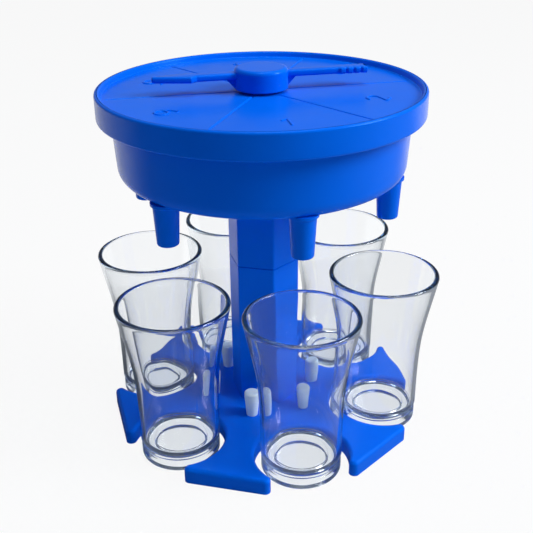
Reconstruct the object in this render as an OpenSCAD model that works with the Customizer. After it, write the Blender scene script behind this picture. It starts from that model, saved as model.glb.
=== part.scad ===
// Party shot dispenser: a covered bowl on a six-sided column drains through six spouts
// into six cups that stand in the notches of a spider base. A pointer spins on the lid,
// and six silicone stoppers for the spouts are stored upright on the base's arms.
// Origin: on the column's axis, at the table. A cup stands on the -Y side.

/* [Cups] */
// Distance from the column's axis to the axis of each cup and spout
cup_orbit = 55.8; // [54:0.1:60]
// Height of a cup
cup_h = 75; // [60:1:82]
// Diameter of a cup's foot
cup_foot_d = 35.2; // [32:0.2:37]
// Diameter across a cup's lip
cup_rim_d = 49.4; // [42:0.2:52]
// Diameter of a cup's waist, just above its foot
cup_waist_d = 35.8; // [33:0.2:38]
// Thickness of a cup's wall at the waist
cup_wall = 1.8; // [1.4:0.1:3.2]
// Thickness of a cup's rounded lip
cup_lip = 2.3; // [1.6:0.1:3]
// Thickness of a cup's heavy bottom
cup_floor = 5.5; // [4:0.5:10]
// Radius of the rounded edge round a cup's foot
cup_foot_round = 1.2; // [0.6:0.1:3]
// Radius between a cup's floor and its inner wall
cup_floor_round = 4; // [2:0.2:5]
// Depth of the two rings cut round a cup's foot
cup_ring_depth = 0.5; // [0.2:0.1:0.8]
// Height of the lower ring's lower edge above the table
cup_ring_z = 4.8; // [3.4:0.1:7]
// Distance between the two rings
cup_ring_pitch = 1.6; // [1.2:0.1:2]
// Depth of the hollow under a cup's foot
cup_hollow = 0.6; // [0.3:0.1:1]
// Width of the ring round the raised disc on a cup's floor
cup_disc_ring = 0.4; // [0.2:0.1:1]
// Height of that disc
cup_disc_h = 0.3; // [0.2:0.1:0.6]

/* [Base] */
// How far each arm's flat end lies beyond the line between the notches' centres
arm_over = 22.6; // [20:0.1:23.2]
// Height of the base's flat top
base_h = 7.2; // [6.8:0.1:10]
// Wall thickness of the base moulding
base_wall = 2.2; // [1.6:0.1:2.3]
// Radius of the rounded top edge
base_round = 1.8; // [0.8:0.1:2.2]
// Radius of an arm's corners, seen from above
arm_corner = 2.4; // [2.3:0.1:3]
// Gap between a cup's foot and its notch
notch_gap = 3.4; // [2:0.1:4]
// How far a notch's centre lies outside its cup's axis
notch_lead = 1.2; // [0:0.1:2]
// Thickness of the ribs under the base
rib_t = 1.6; // [1.2:0.1:2.2]
// Height of the ribs' lower edges above the table
rib_lift = 1; // [0.6:0.1:2]

/* [Column] */
// Width of the column across its flats
column_w = 28.6; // [26:0.2:32]
// Radius of the column's rounded edges
column_round = 1.2; // [0.6:0.1:2.5]
// Wall thickness of the column
column_wall = 2; // [1.6:0.1:2.6]
// Height of the seam between the lower and the upper column
seam_h = 77.5; // [60:0.5:90]
// Length of the upper column, from the seam to the bowl
upper_column_l = 46.6; // [40:0.2:60]
// Length of the lower column's spigot, which enters the upper column
spigot_l = 16; // [8:0.5:20]
// Gap round the spigot
spigot_gap = 0.3; // [0.2:0.05:0.6]
// Thickness of the webs that the column's screws pull on
web_t = 3; // [2:0.2:4]
// Depth of the column's foot below the top of the base
foot_depth = 3.6; // [2.4:0.1:4]

/* [Bowl] */
// Diameter of the bowl's wall, at the top
bowl_d = 128.6; // [126:0.2:132]
// Height of the bowl, from its underside to its brim
bowl_h = 33.1; // [28:0.1:40]
// How far the wall leans in between the brim and the floor
bowl_draft = 1.4; // [0.5:0.1:3]
// Radius of the bowl's rounded bottom edge
bowl_round = 6.5; // [4:0.25:9]
// Wall thickness of the bowl
bowl_wall = 2.2; // [1.6:0.1:2.8]
// Height of the flange round the brim
brim_t = 2.4; // [1.6:0.2:3]
// How far that flange stands out from the wall
brim_over = 3; // [2:0.1:5]
// How far the floor climbs from the spouts to the column
floor_rise = 5; // [2:0.5:8]
// Radius of the flat middle of the floor
floor_flat_r = 20; // [18.5:0.5:24]
// Radius at which the floor's slope ends
slope_end_r = 46; // [40:0.5:48]
// Radius of the pouring cone in the middle of the floor
cone_r = 13; // [11:0.5:16]
// Height of the pouring cone
cone_h = 9; // [6:0.5:12]
// Height of the ribs that divide the floor in six
divider_h = 7; // [3:0.5:10]
// Thickness of those ribs
divider_t = 2; // [1.4:0.1:2.6]

/* [Spouts] */
// Length of a spout below the bowl
spout_l = 17.5; // [10:0.5:22]
// Diameter of a spout where it leaves the bowl
spout_top_d = 11; // [10:0.1:12]
// Diameter of a spout at its end
spout_end_d = 9.3; // [8.6:0.1:10]
// Diameter of the bore through a spout
spout_bore_d = 5.8; // [5:0.1:6.4]
// Radius of the rounded edge at a spout's end
spout_round = 1; // [0.4:0.1:1.2]
// Width and height of the flare where a spout meets the bowl
spout_flare = 0.9; // [0.4:0.1:1.4]

/* [Lid] */
// Height of the lid's skirt
lid_h = 11.2; // [8:0.2:16]
// Wall thickness of the lid
lid_wall = 2.2; // [1.6:0.1:2.6]
// Height of the rim above the lid's face
lid_rim_h = 2.4; // [1.4:0.1:3.5]
// Radius of the rounded rim and skirt edges
lid_round = 1.1; // [0.6:0.05:1.1]
// Gap between the lid's skirt and the bowl's brim
lid_gap = 0.5; // [0.3:0.1:1.2]
// Width of the grooves that divide the lid in six
groove_w = 1.2; // [0.8:0.1:2]
// Depth of those grooves
groove_depth = 0.6; // [0.3:0.1:1]
// Radius of the lid's raised pad under the pointer
pad_r = 8; // [7:0.25:9]
// Height of that pad
pad_h = 0.8; // [0.4:0.1:1.2]
// How far the lid is turned from lining up with the bowl, in degrees
lid_turn = -4.5; // [-30:0.5:30]

/* [Pointer] */
// Diameter of the knob
knob_d = 22.8; // [20:0.2:26]
// Height of the knob
knob_h = 8.8; // [8:0.2:12]
// Radius of the knob's rounded top edge
knob_round = 1.8; // [1:0.1:2.5]
// Wall thickness of the knob
knob_wall = 1.8; // [1.4:0.1:2.2]
// Gap between the knob and the lid's face
knob_gap = 1.2; // [1:0.1:1.6]
// Reach of the pointer from the axis to its tip
pointer_reach = 46; // [36:0.5:60]
// Thickness of the pointer's arms
pointer_t = 2; // [1.4:0.1:2.6]
// Height of the arms' underside above the knob's bottom edge
pointer_lift = 4.6; // [3.6:0.1:5.2]
// Width of the arms beside the knob
pointer_w = 5.4; // [4:0.2:8]
// Width across the arrow head
head_w = 9.6; // [8.4:0.2:14]
// Length of the arrow head
head_l = 16; // [10:0.5:20]
// Width of the blunt tip
tip_w = 2; // [1:0.1:3]
// Width across the tail
tail_w = 7.2; // [6:0.2:10]
// Length of the notched tail
tail_l = 13; // [9:0.5:18]
// Number of notches along each edge of the tail
tail_notches = 4; // [2:1:6]
// Diameter of the stem that turns in the lid
stem_d = 8; // [7:0.1:9]
// Radial running gap round the stem
stem_gap = 0.08; // [0.05:0.01:0.1]
// Direction of the pointer from the lid's first sector, in degrees
pointer_turn = -90; // [-180:5:180]

/* [Stoppers] */
// Distance from the axis to each stored stopper
plug_orbit = 26; // [24.5:0.1:27]
// Height of a stopper above the base
plug_h = 12.4; // [9:0.2:16]
// Diameter of a stopper's top
plug_top_d = 6.9; // [6.2:0.1:8]
// Diameter of a stopper where it meets the base
plug_low_d = 5.3; // [5.2:0.05:5.6]
// Diameter of the stub in its storage hole
plug_stub_d = 4.8; // [4:0.1:4.9]
// Length of that stub
plug_stub_l = 4; // [3:0.1:4.2]
// Radius of a stopper's rounded top edge
plug_round = 0.9; // [0.4:0.1:1.4]

/* [Screws] */
// Diameter of a screw's shank
screw_d = 3; // [2.6:0.1:3.4]
// Length of a screw's shank
screw_l = 9; // [7:0.5:9]
// Diameter of a screw's head
screw_head_d = 6; // [5:0.1:6.4]
// Height of a screw's head
screw_head_h = 1.8; // [1.2:0.1:2]
// Diameter of the washer under the lid
washer_d = 13; // [11:0.5:16]
// Thickness of that washer
washer_t = 1; // [0.6:0.1:1.4]

/* [Hidden] */
$fn = 96;

// Cups, spouts, arms and stoppers each come once to a station
stations = 6;
station_angle = 360 / stations;
half_angle = station_angle / 2;

// Small gap under what lifts off, and between a screw or stub and its hole
seat_gap = 0.2;
fit_gap = 0.05;
// Overlap that joins two shapes of one solid, and reach of a cut past a face
bite = 0.5;

plastic_blue = [0.0, 0.33, 0.86];
clear_acrylic = [0.86, 0.92, 0.95, 0.35];
milky_silicone = [0.86, 0.92, 0.96, 0.9];
zinc = [0.75, 0.76, 0.78];

// Radii
cup_foot_r = cup_foot_d / 2;
notch_r = cup_foot_r + notch_gap;
notch_at = cup_orbit + notch_lead;
// Distance from the axis to the flat end of each arm
arm_reach = notch_at * cos(half_angle) + arm_over;
bowl_r = bowl_d / 2;
brim_r = bowl_r + brim_over;
lid_r = brim_r + lid_gap + lid_wall;
stem_r = stem_d / 2;
screw_r = screw_d / 2;
post_r = screw_r + 1.9;

// Heights, from the table up
foot_z = base_h - foot_depth;
upper_z = seam_h + seat_gap;
hub_z = upper_z + upper_column_l;
bowl_z = hub_z - floor_rise;
brim_z = bowl_z + bowl_h;
lid_under_z = brim_z + seat_gap;
lid_face_z = lid_under_z + lid_wall;
lid_top_z = lid_face_z + lid_rim_h;
knob_z = lid_face_z + knob_gap;
arm_z = knob_z + pointer_lift;

// A point at a radius and a sideways distance, for an object on the station at angle a.
// Angles run from -Y towards +X.
function place(p, a) = [p[0] * sin(a) + p[1] * cos(a), p[1] * sin(a) - p[0] * cos(a)];

// Points along an arc, from angle a0 to a1
function arc(c, r, a0, a1, steps) =
    [for (i = [0 : steps]) let (a = a0 + (a1 - a0) * i / steps) [c[0] + r * cos(a), c[1] + r * sin(a)]];

// Points along a cubic curve with four control points
function curve(a, b, c, d, steps) =
    [for (i = [0 : steps]) let (t = i / steps, s = 1 - t)
        s * s * s * a + 3 * s * s * t * b + 3 * s * t * t * c + t * t * t * d];

module at_station(k, r, turn = 0) {
    rotate(k * station_angle + turn) translate([0, -r, 0]) children();
}

module stand_in_ring(r, turn = 0) {
    for (k = [0 : stations - 1]) at_station(k, r, turn) children();
}

// ---- Base ----

// Centre of an arm's rounded corner: it touches the notch's circle and the arm's end
corner_in = arm_reach - arm_corner;
corner_side = notch_at * sin(half_angle)
    - sqrt(pow(notch_r + arm_corner, 2) - pow(corner_in - notch_at * cos(half_angle), 2));
corner_u = corner_in * cos(half_angle) + corner_side * sin(half_angle);
corner_v = corner_in * sin(half_angle) - corner_side * cos(half_angle);
corner_turn = atan2(corner_v, notch_at - corner_u);
corner_steps = 8;
edge_steps = 4;

// The base's plan, drawn in by inset all round, with each notch left as a wedge up to its centre
function base_plan(inset) =
    [for (k = [0 : stations - 1])
        for (p = concat(
            arc([corner_u, -corner_v], arm_corner - inset, -half_angle, corner_turn - half_angle / 4, corner_steps),
            [[notch_at, 0]],
            arc([corner_u, corner_v], arm_corner - inset, half_angle / 4 - corner_turn, half_angle, corner_steps)))
        place(p, k * station_angle)];

// Section of the rounded top edge: side is 1 where the solid lies outside the radius r, -1 inside
function edge_section(r, side) =
    [for (i = [0 : edge_steps]) let (a = 90 * i / edge_steps)
        [r + side * base_round * (1 - cos(a)), base_h - base_round * (1 - sin(a))]];

// What a cup's notch takes from the base, flared at the top
module notch() {
    rotate_extrude()
        polygon(concat([[0, -bite], [notch_r, -bite]], edge_section(notch_r, 1),
                       [[notch_r + base_round, base_h + bite], [0, base_h + bite]]));
}

// What the rounded edge takes from an arm's flat end
module arm_end_edge() {
    length = 2 * (arm_reach * tan(half_angle));
    translate([-length / 2, 0, 0]) rotate([90, 0, 90])
        linear_extrude(length)
            polygon(concat([for (p = edge_section(arm_reach, -1)) [-p[0], p[1]]],
                           [[base_round - arm_reach, base_h + bite], [-arm_reach - bite, base_h + bite],
                            [-arm_reach - bite, base_h - base_round]]));
}

module base_shell() {
    under_z = base_h - base_wall;
    difference() {
        linear_extrude(base_h) polygon(base_plan(0));
        stand_in_ring(notch_at) notch();
        stand_in_ring(0, half_angle) arm_end_edge();
        difference() {
            translate([0, 0, -bite]) linear_extrude(under_z + bite) polygon(base_plan(base_wall));
            stand_in_ring(notch_at) cylinder(h = base_h, r = notch_r + base_wall);
        }
    }
}

module hexagon(width, round_r) {
    corner = (width / 2 - round_r) / cos(30);
    polygon([for (k = [0 : 5])
        for (p = arc(corner * [sin(k * 60), -cos(k * 60)], round_r, k * 60 - 120, k * 60 - 60, 3)) p]);
}

module base() {
    socket_w = column_w + 2 * fit_gap;
    under_z = base_h - base_wall;
    color(plastic_blue) difference() {
        union() {
            base_shell();
            // A rib down the middle of each arm, and a boss round each storage hole
            stand_in_ring(0, half_angle)
                translate([-rib_t / 2, -(arm_reach - base_wall / 2), rib_lift])
                    cube([rib_t, arm_reach - base_wall / 2 - column_w / 2, under_z]);
            stand_in_ring(plug_orbit, half_angle)
                translate([0, 0, rib_lift]) cylinder(h = under_z, d = plug_stub_d + 2 * base_wall);
            translate([0, 0, rib_lift / 2])
                linear_extrude(under_z) hexagon(socket_w + 2 * base_wall, column_round + base_wall);
        }
        // Socket for the column's foot, open above, and the recess for its screw below
        translate([0, 0, foot_z]) linear_extrude(base_h) hexagon(socket_w, column_round);
        translate([0, 0, -bite]) cylinder(h = base_h, r = screw_r + fit_gap);
        translate([0, 0, -bite]) cylinder(h = bite + foot_z - web_t / 2, d = screw_head_d + 1);
        stand_in_ring(plug_orbit, half_angle)
            translate([0, 0, base_h - plug_stub_l - fit_gap])
                cylinder(h = base_h, d = plug_stub_d + 2 * fit_gap);
    }
}

// ---- Column ----

module tube(width, length, round_r, wall) {
    linear_extrude(length) difference() {
        hexagon(width, round_r);
        hexagon(width - 2 * wall, max(round_r - wall, 0.3));
    }
}

module lower_column() {
    spigot_w = column_w - 2 * (column_wall + spigot_gap);
    bore_w = spigot_w - 2 * column_wall;
    collar_w = column_w - column_wall;
    color(plastic_blue) difference() {
        union() {
            translate([0, 0, foot_z]) tube(column_w, seam_h - foot_z, column_round, column_wall);
            // The spigot grows out of a thicker collar just under the seam
            translate([0, 0, seam_h - spigot_l / 2])
                tube(collar_w, spigot_l / 2, column_round, (collar_w - bore_w) / 2);
            translate([0, 0, seam_h - bite]) tube(spigot_w, spigot_l + bite, column_round, column_wall);
            translate([0, 0, foot_z]) linear_extrude(web_t) hexagon(collar_w, column_round);
            translate([0, 0, foot_z]) cylinder(h = screw_l + web_t, r = post_r);
        }
        translate([0, 0, foot_z - bite]) cylinder(h = screw_l + bite, r = screw_r + fit_gap);
    }
}

module upper_column() {
    color(plastic_blue) difference() {
        union() {
            translate([0, 0, upper_z]) tube(column_w, upper_column_l, column_round, column_wall);
            translate([0, 0, hub_z - web_t])
                linear_extrude(web_t) hexagon(column_w - column_wall, column_round);
        }
        translate([0, 0, hub_z - web_t - bite]) cylinder(h = web_t + 2 * bite, r = screw_r + fit_gap);
    }
}

// ---- Bowl ----

// One side of the bowl's wall: from the axis out along the floor and up to height top
function bowl_side(inset, top) =
    let (low_r = bowl_r - bowl_draft - inset,
         round_r = bowl_round - inset,
         floor_z = bowl_z + inset)
    concat([[0, hub_z + inset], [floor_flat_r, hub_z + inset], [slope_end_r, floor_z]],
           arc([low_r - round_r, floor_z + round_r], round_r, -90, 0, 8),
           [[bowl_r - inset, top]]);

module bowl_shell() {
    outside = bowl_side(0, brim_z - brim_t);
    inside = bowl_side(bowl_wall, brim_z);
    rotate_extrude()
        polygon(concat(outside, [[brim_r, brim_z - brim_t], [brim_r, brim_z]],
                       [for (i = [len(inside) - 1 : -1 : 0]) inside[i]]));
}

// A tapered spout, rounded at its end, that reaches into the bowl's floor
module spout() {
    end_r = spout_end_d / 2;
    rotate_extrude()
        polygon(concat([[0, bowl_z - spout_l]],
                       arc([end_r - spout_round, bowl_z - spout_l + spout_round], spout_round, -90, 0, 4),
                       arc([spout_top_d / 2 + spout_flare, bowl_z - spout_flare], spout_flare, 180, 90, 3),
                       [[spout_top_d / 2 + spout_flare, bowl_z + bowl_wall / 2],
                        [0, bowl_z + bowl_wall / 2]]));
}

module bowl() {
    cone_tip_r = post_r + bowl_wall / 2;
    cone_top = hub_z + bowl_wall + cone_h;
    color(plastic_blue) difference() {
        union() {
            difference() {
                union() {
                    bowl_shell();
                    translate([0, 0, hub_z])
                        cylinder(h = bowl_wall + cone_h, r1 = cone_r, r2 = cone_tip_r);
                }
                translate([0, 0, hub_z - bite])
                    cylinder(h = cone_h + bite, r1 = cone_r - bowl_wall, r2 = cone_tip_r - bowl_wall / 2);
            }
            translate([0, 0, hub_z]) cylinder(h = cone_h + bowl_wall / 2, r = post_r);
            stand_in_ring(cup_orbit) spout();
            // Ribs that part the floor into six equal sectors
            intersection() {
                stand_in_ring(0, half_angle)
                    translate([-divider_t / 2, -bowl_r, bowl_z + bowl_wall / 2])
                        cube([divider_t, bowl_r - cone_tip_r, floor_rise + bowl_wall / 2 + divider_h]);
                rotate_extrude()
                    polygon(concat(bowl_side(bowl_wall / 2, brim_z), [[0, brim_z]]));
            }
        }
        stand_in_ring(cup_orbit)
            translate([0, 0, bowl_z - spout_l - bite])
                cylinder(h = spout_l + bowl_wall + 2 * bite, d = spout_bore_d);
        translate([0, 0, hub_z - bite]) cylinder(h = screw_l - web_t + bite, r = screw_r + fit_gap);
    }
}

// ---- Lid ----

module lid_shell() {
    low_z = lid_top_z - lid_h;
    rim_in = lid_r - 2 * lid_round;
    rotate_extrude()
        polygon(concat(
            [[0, lid_under_z], [lid_r - lid_wall, lid_under_z], [lid_r - lid_wall, low_z]],
            arc([lid_r - lid_round, low_z + lid_round], lid_round, -90, 0, 4),
            arc([lid_r - lid_round, lid_top_z - lid_round], lid_round, 0, 180, 8),
            [[rim_in - (lid_rim_h - lid_round) / 2, lid_face_z], [0, lid_face_z]]));
}

// A V groove along a radius of the lid's face
module groove() {
    reach = lid_r - 2 * lid_round - lid_rim_h;
    translate([0, -pad_r - 2 * groove_w, lid_face_z]) rotate([90, 0, 0])
        linear_extrude(reach - pad_r - 2 * groove_w)
            polygon([[-groove_w / 2, 0], [0, -groove_depth], [groove_w / 2, 0],
                     [groove_w / 2, bite], [-groove_w / 2, bite]]);
}

module lid() {
    color(plastic_blue) rotate(lid_turn) difference() {
        union() {
            lid_shell();
            translate([0, 0, lid_under_z]) cylinder(h = lid_wall + pad_h, r = pad_r);
        }
        for (k = [0 : stations - 1]) rotate(k * station_angle + half_angle) groove();
        translate([0, 0, lid_under_z - bite])
            cylinder(h = lid_wall + pad_h + 2 * bite, r = stem_r + stem_gap);
    }
}

// ---- Pointer ----

// The arrow's plan, pointing along -Y: head, shaft and a tail notched like feathers
module arrow_plan() {
    neck = pointer_reach - head_l;
    pitch = tail_l / tail_notches;
    feather = (tail_w - pointer_w) / 2;
    polygon([[-pointer_w / 2, 0], [-pointer_w / 2, -neck + head_w / 4], [-head_w / 2, -neck],
             [-tip_w / 2, -pointer_reach], [tip_w / 2, -pointer_reach], [head_w / 2, -neck],
             [pointer_w / 2, -neck + head_w / 4], [pointer_w / 2, 0]]);
    translate([-pointer_w / 2, 0]) square([pointer_w, pointer_reach]);
    for (i = [0 : tail_notches - 1], side = [-1, 1])
        translate([side * (pointer_w / 2 - bite), pointer_reach - (i + 1) * pitch])
            polygon([[0, 0], [side * (bite + feather), pitch * 0.35],
                     [side * (bite + feather), pitch * 0.85], [0, pitch]]);
}

// A triangular rib under an arm, against the knob
module gusset() {
    length = 4;
    translate([-rib_t / 2, 0, arm_z]) rotate([90, 0, 90])
        linear_extrude(rib_t)
            polygon([[-knob_d / 2 - length, bite], [-knob_d / 2 - length, 0],
                     [-knob_d / 2 + bite, bite - pointer_lift], [-knob_d / 2 + bite, bite]]);
}

module pointer() {
    knob_r = knob_d / 2;
    top_z = knob_z + knob_h;
    stem_low = lid_under_z - seat_gap / 2;
    color(plastic_blue) rotate(lid_turn + pointer_turn) difference() {
        union() {
            difference() {
                union() {
                    rotate_extrude()
                        polygon(concat([[0, knob_z], [knob_r, knob_z]],
                                       arc([knob_r - knob_round, top_z - knob_round], knob_round, 0, 90, 6),
                                       [[0, top_z]]));
                    translate([0, 0, arm_z]) linear_extrude(pointer_t) arrow_plan();
                    for (half = [0, 180]) rotate(half) gusset();
                }
                translate([0, 0, knob_z - bite])
                    cylinder(h = knob_h - knob_wall + bite, r = knob_r - knob_wall);
            }
            translate([0, 0, stem_low]) cylinder(h = top_z - knob_wall / 2 - stem_low, r = stem_r);
            // Shoulder that runs on the lid's pad
            translate([0, 0, lid_face_z + pad_h + seat_gap])
                cylinder(h = top_z - knob_wall / 2 - lid_face_z - pad_h - seat_gap, r = stem_r + knob_wall / 2);
        }
        translate([0, 0, stem_low - bite]) cylinder(h = screw_l + bite, r = screw_r + fit_gap);
    }
}

module washer_ring() {
    color(zinc) translate([0, 0, lid_under_z - seat_gap / 2 - washer_t]) difference() {
        cylinder(h = washer_t, d = washer_d);
        translate([0, 0, -bite]) cylinder(h = washer_t + 2 * bite, r = screw_r + fit_gap);
    }
}

// ---- Screws ----

// A pan-head screw that points up: the shank starts at the origin, on top of the head
module screw(shank_l) {
    slot = screw_head_d / 6;
    color(zinc) difference() {
        union() {
            rotate_extrude()
                polygon(concat([[0, -screw_head_h]],
                               arc([screw_head_d / 2 - screw_head_h / 2, -screw_head_h / 2],
                                   screw_head_h / 2, -90, 0, 4),
                               [[screw_head_d / 2, 0], [0, 0]]));
            translate([0, 0, -screw_head_h / 2]) cylinder(h = screw_head_h / 2 + shank_l, r = screw_r);
        }
        for (turn = [0, 90]) rotate(turn)
            translate([-slot / 2, -slot * 1.5, -screw_head_h - bite])
                cube([slot, slot * 3, bite + screw_head_h * 0.6]);
    }
}

// ---- Cup ----

function cup_outside() =
    let (waist = cup_waist_d / 2,
         rim = cup_rim_d / 2,
         ring_z = cup_ring_z,
         pitch = cup_ring_pitch,
         groove = cup_foot_r - cup_ring_depth)
    concat(arc([cup_foot_r - cup_foot_round, cup_foot_round], cup_foot_round, -90, 0, 6),
           [[cup_foot_r, ring_z], [groove, ring_z + pitch / 2], [cup_foot_r, ring_z + pitch],
            [groove, ring_z + pitch * 1.5]],
           curve([waist, ring_z + pitch * 2.2], [waist, cup_h * 0.62], [waist + cup_h * 0.015, cup_h * 0.6],
                 [rim, cup_h - cup_lip / 2], 14));

function cup_inside() =
    let (waist = cup_waist_d / 2 - cup_wall,
         rim = cup_rim_d / 2 - cup_lip)
    concat(curve([rim, cup_h - cup_lip / 2], [waist + cup_h * 0.02, cup_h * 0.6], [waist, cup_h * 0.6],
                 [waist, cup_floor + cup_floor_round], 14),
           arc([waist - cup_floor_round, cup_floor + cup_floor_round], cup_floor_round, 0, -90, 5),
           [[waist - cup_floor_round - cup_disc_ring, cup_floor],
            [waist - cup_floor_round - cup_disc_ring - cup_disc_h, cup_floor + cup_disc_h],
            [0, cup_floor + cup_disc_h]]);

module cup(k) {
    lip_r = cup_lip / 2;
    hollow_r = cup_foot_r - cup_foot_round - 1.5;
    color(clear_acrylic) at_station(k - 1, cup_orbit) difference() {
        rotate_extrude()
            polygon(concat([[0, 0]], cup_outside(),
                           arc([cup_rim_d / 2 - lip_r, cup_h - lip_r], lip_r, 20, 160, 6),
                           cup_inside()));
        translate([0, 0, -bite]) cylinder(h = cup_hollow + bite, r1 = hollow_r + bite, r2 = hollow_r - 1);
    }
}

// ---- Stopper ----

module stopper(k) {
    top_r = plug_top_d / 2;
    low_r = plug_low_d / 2;
    stub_r = plug_stub_d / 2;
    color(milky_silicone) at_station(k - 1, plug_orbit, half_angle) translate([0, 0, base_h])
        rotate_extrude()
            polygon(concat([[0, -plug_stub_l], [stub_r, -plug_stub_l], [stub_r, fit_gap], [low_r, fit_gap],
                            [top_r, plug_h * 0.8]],
                           arc([top_r - plug_round, plug_h - plug_round], plug_round, 0, 90, 5),
                           [[0, plug_h]]));
}

base();
lower_column();
translate([0, 0, foot_z - web_t / 2]) screw(screw_l);  // base_screw
upper_column();
bowl();
translate([0, 0, hub_z - web_t]) screw(screw_l);  // bowl_screw
lid();
pointer();
washer_ring();  // pointer_washer
translate([0, 0, lid_under_z - seat_gap / 2 - washer_t]) screw(screw_l);  // pointer_screw
for (k = [1 : stations]) cup(k);
for (k = [1 : stations]) stopper(k);
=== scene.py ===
# Party shot dispenser: the looks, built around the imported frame.
import bpy
import bmesh
import math
import numpy as np
from mathutils import Matrix, Vector


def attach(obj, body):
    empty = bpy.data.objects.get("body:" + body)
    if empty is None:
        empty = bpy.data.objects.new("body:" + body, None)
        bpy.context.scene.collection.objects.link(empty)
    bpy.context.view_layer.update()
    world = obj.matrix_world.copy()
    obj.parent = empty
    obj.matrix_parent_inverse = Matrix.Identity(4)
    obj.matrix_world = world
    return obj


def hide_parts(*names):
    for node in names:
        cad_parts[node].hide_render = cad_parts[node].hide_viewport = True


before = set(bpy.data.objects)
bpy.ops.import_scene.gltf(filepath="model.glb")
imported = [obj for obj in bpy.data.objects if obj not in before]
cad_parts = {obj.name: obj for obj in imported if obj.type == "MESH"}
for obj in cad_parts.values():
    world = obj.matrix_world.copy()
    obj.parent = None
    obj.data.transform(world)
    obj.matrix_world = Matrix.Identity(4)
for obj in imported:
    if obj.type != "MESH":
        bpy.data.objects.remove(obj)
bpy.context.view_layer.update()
print("frame loaded,", len(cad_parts), "nodes")

mm = 0.001
weldGap = 0.002 * mm               # points nearer than this are one
stations = 6
halfTurn = math.pi / stations      # half the angle between two cups

# Heights that several pieces share, in millimetres above the table
level = {"baseTop": 7.2, "foot": 3.6, "seam": 77.5, "upper": 77.7, "hub": 124.3,
         "lidUnder": 152.6, "lidFace": 154.8, "lidTop": 157.2, "knob": 156.0}


def softPath(corners, steps=8, guard=0.25):
    # A line through the corners (x, y, radius), each corner swept as an arc that is tangent to both sides.
    # A point is added just before and after each arc, so that flat faces stay flat under smooth shading.
    path = []
    count = len(corners)
    for i, (x, y, radius) in enumerate(corners):
        p = np.array([x, y], float)
        if i in (0, count - 1) or radius <= 0:
            path.append(p[None])
            continue
        a = np.array(corners[i - 1][:2], float) - p
        b = np.array(corners[i + 1][:2], float) - p
        la, lb = np.linalg.norm(a), np.linalg.norm(b)
        a, b = a / la, b / lb
        angle = math.acos(np.clip(a @ b, -1, 1))
        reach = radius / math.tan(angle / 2)
        centre = p + (a + b) / np.linalg.norm(a + b) * radius / math.sin(angle / 2)
        start, end = p + a * reach, p + b * reach
        t0 = math.atan2(*(start - centre)[::-1])
        turn = math.atan2(*(end - centre)[::-1]) - t0
        turn = (turn + math.pi) % (2 * math.pi) - math.pi
        t = t0 + turn * np.linspace(0, 1, steps + 1)
        arc = centre + radius * np.stack([np.cos(t), np.sin(t)], 1)
        before = p + a * min(reach + guard * radius, (la + reach) / 2)
        after = p + b * min(reach + guard * radius, (lb + reach) / 2)
        path.append(np.vstack([before, arc, after]))
    return np.vstack(path)


def cubic(a, b, c, d, count):
    # Points along a cubic curve with four control points
    t = np.linspace(0, 1, count)[:, None]
    s = 1 - t
    return s**3 * np.array(a, float) + 3 * s * s * t * np.array(b, float) \
        + 3 * s * t * t * np.array(c, float) + t**3 * np.array(d, float)


def arcPoints(centre, radius, fromDeg, toDeg, count):
    # Points on a circle from one angle to another
    t = np.radians(np.linspace(fromDeg, toDeg, count))
    return np.array(centre, float) + radius * np.stack([np.cos(t), np.sin(t)], 1)


def gridFaces(rows, columns, wrapRows, wrapColumns):
    # The four corners of each cell of a grid, joined end to end where it wraps
    i = np.arange(rows if wrapRows else rows - 1)[:, None]
    j = np.arange(columns if wrapColumns else columns - 1)[None, :]
    i2, j2 = (i + 1) % rows, (j + 1) % columns
    quads = np.stack([i * columns + j, i2 * columns + j, i2 * columns + j2, i * columns + j2], -1)
    return quads.reshape(-1, 4)


def sheetMesh(name, sheets, frost=None):
    # sheets is a list of (points, wrapRows, wrapColumns), points being rows x columns x 3 in millimetres.
    # frost gives each point's share of the matt finish, which its material reads as an attribute.
    verts, faces, count = [], [], 0
    for points, wrapRows, wrapColumns in sheets:
        rows, columns = points.shape[:2]
        verts.append(points.reshape(-1, 3))
        faces.append(gridFaces(rows, columns, wrapRows, wrapColumns) + count)
        count += rows * columns
    mesh = bpy.data.meshes.new(name)
    mesh.from_pydata((np.vstack(verts) * mm).tolist(), [], np.vstack(faces).tolist())
    if frost is not None:
        values = mesh.attributes.new("frost", "FLOAT", "POINT").data
        values.foreach_set("value", frost.astype(np.float32).ravel())
    work = bmesh.new()
    work.from_mesh(mesh)
    bmesh.ops.remove_doubles(work, verts=work.verts, dist=weldGap)
    bmesh.ops.dissolve_degenerate(work, edges=work.edges, dist=1e-7)
    bmesh.ops.recalc_face_normals(work, faces=work.faces)
    work.to_mesh(mesh)
    work.free()
    return mesh


def placed(name, data):
    # An object for a mesh, camera or lamp, put into the scene
    thing = bpy.data.objects.new(name, data)
    bpy.context.scene.collection.objects.link(thing)
    return thing


def smoothed(mesh, sharp):
    # Smooth shading that breaks at edges sharper than an angle in degrees
    mesh.shade_smooth()
    mesh.set_sharp_from_angle(angle=math.radians(sharp))


def meshPiece(name, sheets, material, body, stand=(), sharp=40, frost=None):
    mesh = sheetMesh(name, sheets, frost)
    smoothed(mesh, sharp)
    mesh.materials.append(material)
    piece = placed(name, mesh)
    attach(piece, body)
    if stand:
        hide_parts(*stand)
    return piece


def revolved(profile, around, centre=(0, 0)):
    # Each profile point (radius, height) carried round the vertical axis through centre
    t = np.linspace(0, 2 * math.pi, around, endpoint=False)[:, None]
    r, z = profile[None, :, 0], profile[None, :, 1]
    return np.stack([centre[0] + r * np.sin(t), centre[1] - r * np.cos(t), z + 0 * t], -1)


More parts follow.
